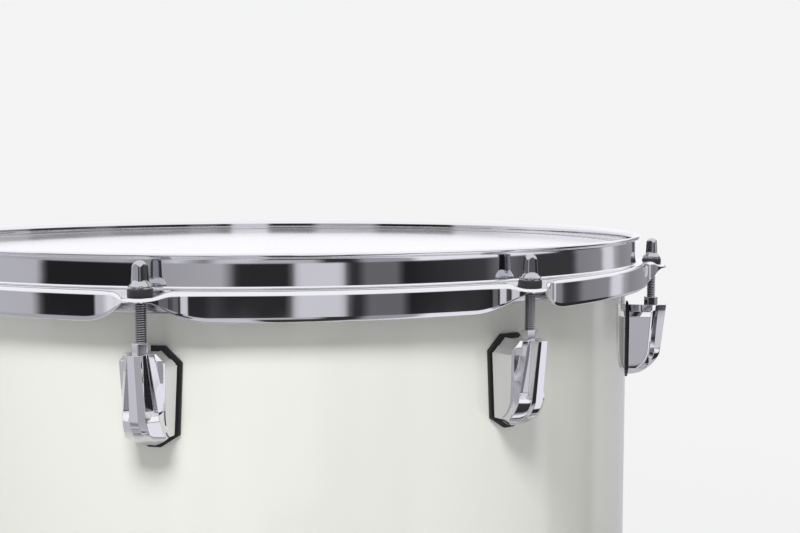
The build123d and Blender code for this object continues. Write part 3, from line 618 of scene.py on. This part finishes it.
# Tension rods, washers and nuts
def rod_bmesh():
    """A rod with Z = 0 under its flange: spun, then squared at the head and threaded by moving points."""
    corner = HEAD_HALF * math.sqrt(2)
    rim = 0.25 * MM
    points = [(0, HEAD_HEIGHT)]
    points += arc((0, HEAD_HEIGHT - HEAD_DOME), (corner, HEAD_DOME), 90, 0, HEAD_DOME_STEPS)[1:]
    side = HEAD_HEIGHT - HEAD_DOME - FLANGE_THICKNESS
    for i in range(1, HEAD_SIDE_STEPS + 1):
        points.append((corner, FLANGE_THICKNESS + side * (1 - i / HEAD_SIDE_STEPS)))
    points += arc((FLANGE_RADIUS - rim, FLANGE_THICKNESS - rim), (rim, rim), 90, 0, 3)
    points += arc((FLANGE_RADIUS - rim, rim), (rim, rim), 0, -90, 3)
    points += [(ROD_CREST, 0.0), (ROD_CREST, -THREAD_START / 2)]
    rows = int((ROD_LENGTH - THREAD_START) / THREAD_PITCH * THREAD_ROWS)
    for i in range(rows):
        points.append((ROD_CREST, -THREAD_START - i * THREAD_PITCH / THREAD_ROWS))
    points += [(ROD_CORE, -ROD_LENGTH), (0, -ROD_LENGTH)]
    bm = spun(points, ROD_STEPS, closed=False)
    thread_top = -THREAD_START * 0.9
    thread_end = -ROD_LENGTH * 0.99
    groove = bm.verts.layers.float.new("thread_depth")
    for vert in bm.verts:
        radius = math.hypot(vert.co.x, vert.co.y)
        turn = math.atan2(vert.co.y, vert.co.x)
        height = vert.co.z
        if radius < ON_AXIS:
            continue
        if height > FLANGE_THICKNESS:
            facing = turn - HEAD_TURN
            along = abs(math.cos(facing)) ** HEAD_SQUARENESS
            across = abs(math.sin(facing)) ** HEAD_SQUARENESS
            flat = (along + across) ** (-1 / HEAD_SQUARENESS)
            taper = 1 - HEAD_TAPER * (height - FLANGE_THICKNESS) / (HEAD_HEIGHT - FLANGE_THICKNESS)
            squared = min(radius, HEAD_HALF * flat) * taper
            share = (height - FLANGE_THICKNESS) / FLANGE_CONE
            coned = FLANGE_RADIUS + (CONE_TOP_RADIUS - FLANGE_RADIUS) * share
            wanted = max(squared, coned) if share < 1 else squared
            vert.co.x *= wanted / radius
            vert.co.y *= wanted / radius
        elif thread_end < height < thread_top:
            phase = (height / THREAD_PITCH - turn / math.tau) % 1.0
            depth = 1 - abs(2 * phase - 1)
            runout = min(1.0, (thread_top - height) / THREAD_PITCH)
            # This depth also sets the painted shade in the thread's roots, in the rod's finish.
            vert[groove] = smooth_share(depth) * runout
            wanted = ROD_CREST + (ROD_CORE - ROD_CREST) * vert[groove]
            vert.co.x *= wanted / radius
            vert.co.y *= wanted / radius
    bmesh.ops.recalc_face_normals(bm, faces=bm.faces)
    return bm


def rod_places(place, height):
    """The places of a head's rods, at a height."""
    spot = Matrix.Translation((ROD_CIRCLE, 0, height))
    return [place @ Matrix.Rotation(turn, 4, "Z") @ spot for turn in LUG_TURNS]


def make_rods(end, place):
    for number, spot in enumerate(rod_places(place, WASHER_TOP), 1):
        bm = rod_bmesh()
        bmesh.ops.transform(bm, matrix=spot, verts=bm.verts)
        node = f"{end}_rod_{number}"
        add_piece(f"{end}_tension_rod_{number}", bm, node, "rod_steel", node)


def make_washers(end, place):
    hole = ROD_CREST + ROD_HOLE_GAP
    rim = 0.5 * MM
    top = WASHER_THICKNESS
    outline = arc((WASHER_RADIUS - rim, rim), (rim, rim), -90, 0, 4)
    outline += arc((WASHER_RADIUS - rim, top - rim), (rim, rim), 0, 90, 4)
    outline += [(hole, top), (hole, 0.0)]
    bm = copied(spun(outline, WASHER_STEPS), rod_places(place, EAR_TOP))
    add_piece(f"{end}_rod_washers", bm, f"{end}_hoop", "black_nylon", f"{end}_washers")


def make_nuts(end, place):
    bm = bmesh.new()
    middle = Matrix.Translation((0, 0, (NUT_RISE - NUT_SINK) / 2))
    bmesh.ops.create_cone(
        bm,
        cap_ends=True,
        segments=6,
        radius1=NUT_RADIUS,
        radius2=NUT_RADIUS,
        depth=NUT_RISE + NUT_SINK,
        matrix=middle @ Matrix.Rotation(math.pi / 6, 4, "Z"),
    )
    bm = copied(bm, rod_places(place, LUG_TOP))
    bmesh.ops.recalc_face_normals(bm, faces=bm.faces)
    nuts = add_piece(f"{end}_hex_nuts", bm, "drum", "chrome", f"{end}_swivel_nuts")
    soften_edges(nuts, width=0.3 * MM)


# Lugs
def raked_arc(drop, reach, rake, end_drop):
    """Reach of a front that leans in a little, then rounds in to the toe."""
    if drop <= LUG_RAKE_DROP:
        return reach - rake * drop / LUG_RAKE_DROP
    share = min(1.0, (drop - LUG_RAKE_DROP) / (end_drop - LUG_RAKE_DROP))
    return LUG_TOE_REACH + (reach - rake - LUG_TOE_REACH) * (1 - share**LUG_ROUNDNESS) ** (1 / LUG_ROUNDNESS)


def lug_half_width(drop):
    """Half width of the lug against the shell."""
    corners = [
        (0.0, LUG_TOP_HALF),
        (LUG_SHOULDER_DROP, LUG_SHOULDER_HALF),
        (LUG_HEIGHT - LUG_HEEL_RISE, LUG_HEEL_HALF),
        (LUG_HEIGHT, LUG_TOE_HALF),
    ]
    for (above, wide_above), (below, wide_below) in zip(corners, corners[1:]):
        if drop <= below:
            return wide_above + (wide_below - wide_above) * (drop - above) / (below - above)
    return LUG_TOE_HALF


def pocket_floor(drop, level):
    """Reach of a pocket's floor beside the keel: deeper all the way down, then out to the front's level."""
    deep = LUG_FLOOR_REACH - LUG_FLOOR_RAKE * min(drop, LUG_POCKET_DROP)
    if drop <= LUG_POCKET_DROP:
        return deep
    left = max(0.0, (LUG_POCKET_END - drop) / (LUG_POCKET_END - LUG_POCKET_DROP))
    return level + (deep - level) * left


def lug_outline(drop):
    """Half of a level section as (reach, across): cheek, chamfered corner, rail, pocket and keel."""
    keel_reach = raked_arc(drop, LUG_REACH, LUG_RAKE, LUG_HEIGHT)
    rail_reach = raked_arc(drop, LUG_RAIL_REACH, LUG_RAIL_RAKE, LUG_HEIGHT)
    rail_reach = min(rail_reach, keel_reach - LUG_LEAST_STEP)
    cheek = raked_arc(drop, LUG_CHEEK_REACH, LUG_CHEEK_RAKE, LUG_HEIGHT - LUG_CHEEK_RISE)
    cheek = min(cheek, rail_reach - 3 * LUG_LEAST_STEP)
    corner_reach = min(cheek + LUG_CORNER_OUT, rail_reach - 2 * LUG_LEAST_STEP)
    rail_edge = min(LUG_RAIL_EDGE - LUG_RAIL_FALL * drop, rail_reach - LUG_LEAST_STEP)
    rail_edge = max(rail_edge, corner_reach + LUG_LEAST_STEP)
    base = lug_half_width(drop)
    widest = base if drop > LUG_SHOULDER_DROP else LUG_SHOULDER_HALF
    side = min(base + LUG_SHOULDER_LEAN * cheek, widest - LUG_CHEEK_DRAFT * cheek)
    corner = min(base + LUG_SHOULDER_LEAN * corner_reach, widest - LUG_CHEEK_DRAFT * cheek - LUG_CORNER_IN)
    rail_inner = LUG_RAIL_HALF + LUG_RAIL_FLARE * drop
    rail_outer = min(rail_inner + LUG_RAIL_WIDTH, corner + LUG_SHOULDER_LEAN * (rail_edge - corner_reach))
    rail_inner = min(rail_inner, rail_outer - LUG_LEAST_STEP)
    keel_half = min(LUG_KEEL_HALF + LUG_KEEL_FLARE * drop, rail_inner - LUG_LEAST_STEP)
    level = keel_reach + (rail_reach - keel_reach) * LUG_FLOOR_SHARE
    return [
        (LUG_ROOT, base),
        (cheek, side),
        (corner_reach, corner),
        (rail_edge, rail_outer),
        (rail_reach, rail_inner),
        (pocket_floor(drop, level), keel_half + (rail_inner - keel_half) * LUG_FLOOR_SHARE),
        (keel_reach, keel_half),
        (keel_reach - LUG_KEEL_DIP, 0.0),
    ]


def lug_section(drop):
    """Level section of the lug as points."""
    half = lug_outline(drop)
    points = half + [(reach, -across) for reach, across in reversed(half[:-1])]
    return [Vector((SHELL_RADIUS + reach, across, LUG_TOP - drop)) for reach, across in points]


def drawn_down(bm, ring, section):
    """Extrudes a ring of edges and sets the new ring on a section's points."""
    edges = [bm.edges.get((ring[i - 1], ring[i])) for i in range(len(ring))]
    drawn = bmesh.ops.extrude_edge_only(bm, edges=edges)["geom"]
    fresh = {item for item in drawn if isinstance(item, bmesh.types.BMVert)}
    lower = []
    for vert, point in zip(ring, section):
        below = next(edge.other_vert(vert) for edge in vert.link_edges if edge.other_vert(vert) in fresh)
        below.co = point
        lower.append(below)
    return lower


def lug_bmesh():
    """The casting: its top outline drawn down through the level sections."""
    slope = (LUG_SHOULDER_HALF - LUG_TOP_HALF) / LUG_SHOULDER_DROP
    side_drop = LUG_SHOULDER_DROP - (LUG_CHEEK_DRAFT + LUG_SHOULDER_LEAN) * LUG_CHEEK_REACH / slope
    corner_drop = side_drop - (LUG_CORNER_IN + LUG_SHOULDER_LEAN * LUG_CORNER_OUT) / slope
    drops = [0.0, corner_drop, side_drop, LUG_SHOULDER_DROP]
    marks = [LUG_SHOULDER_DROP, LUG_POCKET_DROP, LUG_RAKE_DROP, LUG_POCKET_END]
    marks += [LUG_HEIGHT - LUG_HEEL_RISE, LUG_HEIGHT]
    for above, below in zip(marks, marks[1:]):
        drops += [above + (below - above) * (i + 1) / LUG_ARC_STEPS for i in range(LUG_ARC_STEPS)]
    sections = [lug_section(drop) for drop in drops]
    bm = bmesh.new()
    ring = [bm.verts.new(point) for point in sections[0]]
    for i in range(len(ring)):
        bm.edges.new((ring[i - 1], ring[i]))
    bm.faces.new(ring)
    for section in sections[1:]:
        ring = drawn_down(bm, ring, section)
    bm.faces.new(ring)
    bmesh.ops.recalc_face_normals(bm, faces=bm.faces)
    return bm


def make_lugs(end, place):
    turned = [place @ Matrix.Rotation(turn, 4, "Z") for turn in LUG_TURNS]
    bm = copied(lug_bmesh(), turned)
    bmesh.ops.recalc_face_normals(bm, faces=bm.faces)
    lugs = add_piece(f"{end}_cast_lugs", bm, "drum", "chrome", f"{end}_lugs")
    soften_edges(lugs, width=0.25 * MM, angle=17.0, segments=2, clamped=False)


# Camera, floor, world and lamps
CAMERA_SIDE = 189.3 * MM
CAMERA_FRONT = -713.6 * MM
CAMERA_ABOVE_RIM = 31.4 * MM
CAMERA_TURN = math.radians(8.557)
CAMERA_PITCH = 0.075
IMAGE_WIDTH = 800
FOCAL_PIXELS = 1094.0
SENSOR_WIDTH = 36.0
BACKDROP = (0.90, 0.90, 0.905)
FLOOR_GLOW = (0.95, 0.95, 0.955)
FLOOR_GLOW_SHARE = 0.85
FLOOR_RADIUS = 3.0
FLOOR_FADE_START = 0.8
FLOOR_FADE_END = 2.6


def add_camera():
    data = bpy.data.cameras.new("photo_camera")
    data.sensor_width = SENSOR_WIDTH
    data.lens = FOCAL_PIXELS / IMAGE_WIDTH * SENSOR_WIDTH
    data.clip_start = 0.01
    camera = bpy.data.objects.new("photo_camera", data)
    camera.location = (CAMERA_SIDE, CAMERA_FRONT, TOP_EDGE + RIM_RISE + CAMERA_ABOVE_RIM)
    level = math.cos(CAMERA_PITCH)
    look = Vector((-math.sin(CAMERA_TURN) * level, math.cos(CAMERA_TURN) * level, -math.sin(CAMERA_PITCH)))
    camera.rotation_euler = look.to_track_quat("-Z", "Y").to_euler()
    bpy.context.scene.collection.objects.link(camera)
    bpy.context.scene.camera = camera


def add_floor():
    """A pale round floor that keeps the drum's shadow; gloss looks past it to the studio's panels."""
    bm = bmesh.new()
    bmesh.ops.create_circle(bm, cap_ends=True, segments=96, radius=FLOOR_RADIUS)
    mesh = bpy.data.meshes.new("floor")
    bm.to_mesh(mesh)
    bm.free()
    floor = bpy.data.objects.new("floor", mesh)
    bpy.context.scene.collection.objects.link(floor)
    finish, tree, shader = new_finish("pale_floor")
    shader.inputs["Roughness"].default_value = 0.9
    colour = two_tone(tree, object_noise(tree, 2.0), (0.86, 0.86, 0.86), (0.89, 0.89, 0.89))
    tree.links.new(colour, shader.inputs["Base Color"])
    path = tree.nodes.new("ShaderNodeLightPath")
    share = tree.nodes.new("ShaderNodeMath")
    share.operation = "MULTIPLY"
    share.inputs[1].default_value = FLOOR_GLOW_SHARE
    tree.links.new(path.outputs["Is Camera Ray"], share.inputs[0])
    glow = tree.nodes.new("ShaderNodeEmission")
    glow.inputs["Color"].default_value = (*FLOOR_GLOW, 1)
    lit = mixed_shaders(tree, share.outputs["Value"], shader.outputs["BSDF"], glow.outputs["Emission"])
    coords = tree.nodes.new("ShaderNodeTexCoord")
    distance = tree.nodes.new("ShaderNodeVectorMath")
    distance.operation = "LENGTH"
    tree.links.new(coords.outputs["Object"], distance.inputs[0])
    far = soft_step(tree, distance.outputs["Value"], FLOOR_FADE_START, FLOOR_FADE_END)
    backdrop = tree.nodes.new("ShaderNodeEmission")
    backdrop.inputs["Color"].default_value = (*BACKDROP, 1)
    faded = mixed_shaders(tree, far, lit, backdrop.outputs["Emission"])
    clear = tree.nodes.new("ShaderNodeBsdfTransparent")
    surface = mixed_shaders(tree, path.outputs["Is Glossy Ray"], faded, clear.outputs["BSDF"])
    tree.links.new(surface, tree.nodes["Material Output"].inputs["Surface"])
    mesh.materials.append(finish)


# Brightness of the studio by compass angle in degrees, as bright and dark panels that only gloss shows:
# one row at the height of the eye, one below it and one near the floor
LEVEL_PANELS = [
    (-180, 0.95), (-160, 0.60), (-146, 0.58), (-143, 0.02), (-115, 0.02), (-111, 0.42), (-91, 0.50),
    (-87, 0.03), (-72, 0.03), (-70, 0.78), (-58, 0.78), (-56, 0.04), (-53, 0.04), (-51, 0.17),
    (-42, 0.17), (-40, 0.02), (-14, 0.06), (-8, 0.20), (4, 0.05), (22, 0.05), (25, 0.28),
    (38, 0.32), (41, 0.85), (46, 0.85), (49, 0.45), (54, 0.30), (74, 0.34), (80, 1.05),
    (180, 0.95),
]
LOW_PANELS = [
    (-180, 0.60), (-150, 0.50), (-130, 0.47), (-119, 0.53), (-112, 0.30), (-104, 0.75), (-96, 0.25),
    (-92, 0.70), (-84, 0.70), (-80, 0.55), (-66, 0.55), (-62, 0.04), (-54, 0.04), (-51, 0.40),
    (-38, 0.42), (-34, 1.05), (12, 1.05), (17, 0.03), (38, 0.03), (44, 0.60), (120, 0.65),
    (180, 0.60),
]
FLOOR_PANELS = [
    (-180, 0.60), (-150, 0.50), (-130, 0.47), (-119, 0.53), (-112, 0.30), (-104, 0.75), (-96, 0.25),
    (-92, 0.70), (-82, 0.74), (-79, 0.05), (-54, 0.04), (-51, 0.40), (-38, 0.42), (-34, 1.05),
    (12, 1.05), (17, 0.03), (38, 0.03), (44, 0.60), (120, 0.65), (180, 0.60),
]
PANEL_TINT = (0.98, 0.97, 1.04)
SKY = (1.2, 1.2, 1.22)
AMBIENT = (0.30, 0.30, 0.30)
# Heights of view, as the Z of a direction, over which one row gives way to the next
FLOOR_TO_LOW = (-0.30, -0.27)
LOW_TO_LEVEL = (-0.15, -0.12)
LEVEL_TO_SKY = (0.10, 0.32)


def compass_panels(tree, share, panels):
    """A ring of panels as a colour ramp round the compass."""
    ring = tree.nodes.new("ShaderNodeValToRGB")
    ramp = ring.color_ramp
    while len(ramp.elements) > 1:
        ramp.elements.remove(ramp.elements[-1])
    for number, (angle, light) in enumerate(panels):
        position = (angle + 180) / 360
        stop = ramp.elements[0] if number == 0 else ramp.elements.new(position)
        stop.position = position
        stop.color = (*(light * channel for channel in PANEL_TINT), 1)
    tree.links.new(share, ring.inputs["Fac"])
    return ring.outputs["Color"]


def add_world():
    world = bpy.data.worlds.new("studio")
    bpy.context.scene.world = world
    world.use_nodes = True
    tree = world.node_tree
    background = tree.nodes["Background"]
    coords = tree.nodes.new("ShaderNodeTexCoord")
    split = tree.nodes.new("ShaderNodeSeparateXYZ")
    tree.links.new(coords.outputs["Generated"], split.inputs["Vector"])
    compass = tree.nodes.new("ShaderNodeMath")
    compass.operation = "ARCTAN2"
    tree.links.new(split.outputs["Y"], compass.inputs[0])
    tree.links.new(split.outputs["X"], compass.inputs[1])
    share = tree.nodes.new("ShaderNodeMapRange")
    share.inputs["From Min"].default_value = -math.pi
    share.inputs["From Max"].default_value = math.pi
    tree.links.new(compass.outputs["Value"], share.inputs["Value"])
    turn = share.outputs["Result"]
    rows = [compass_panels(tree, turn, row) for row in (FLOOR_PANELS, LOW_PANELS, LEVEL_PANELS)]
    studio = rows[0]
    for fade, above in zip((FLOOR_TO_LOW, LOW_TO_LEVEL, LEVEL_TO_SKY), (rows[1], rows[2], SKY)):
        studio = two_tone(tree, soft_step(tree, split.outputs["Z"], *fade), studio, above)
    path = tree.nodes.new("ShaderNodeLightPath")
    seen = two_tone(tree, path.outputs["Is Glossy Ray"], AMBIENT, studio)
    plain = two_tone(tree, path.outputs["Is Camera Ray"], seen, BACKDROP)
    tree.links.new(plain, background.inputs["Color"])
    background.inputs["Strength"].default_value = 1.0


def add_softbox(name, place, aim, size, power):
    data = bpy.data.lights.new(name, "AREA")
    data.shape = "RECTANGLE"
    data.size, data.size_y = size
    data.energy = power
    lamp = bpy.data.objects.new(name, data)
    lamp.location = place
    lamp.rotation_euler = (Vector(aim) - Vector(place)).to_track_quat("-Z", "Y").to_euler()
    lamp.visible_glossy = False
    bpy.context.scene.collection.objects.link(lamp)


def add_lights():
    aim = (0, 0, TOP_EDGE)
    middle = (0, 0, SHELL_MIDDLE)
    add_softbox("overhead_front", (0.1, -1.3, 2.1), aim, size=(0.8, 0.5), power=39)
    add_softbox("left_front", (-2.0, -1.4, 0.7), middle, size=(1.0, 1.4), power=3)


# Finishes on the nodes that keep their CAD shape
def dress_nodes():
    slots = {row["node"]: row["material_slot"] for row in frame["record"]["subparts"]}
    for node, piece in frame["nodes"].items():
        piece.data.materials.clear()
        piece.data.materials.append(FINISHES[slots[node]])


dress_nodes()
make_shell()
for end_name, end_place in END_PLACES.items():
    make_head(end_name, end_place)
    make_hoop(end_name, end_place)
    make_rods(end_name, end_place)
    make_washers(end_name, end_place)
    make_nuts(end_name, end_place)
    make_lugs(end_name, end_place)
add_camera()
add_floor()
add_world()
add_lights()
bpy.context.scene.view_settings.view_transform = "Standard"
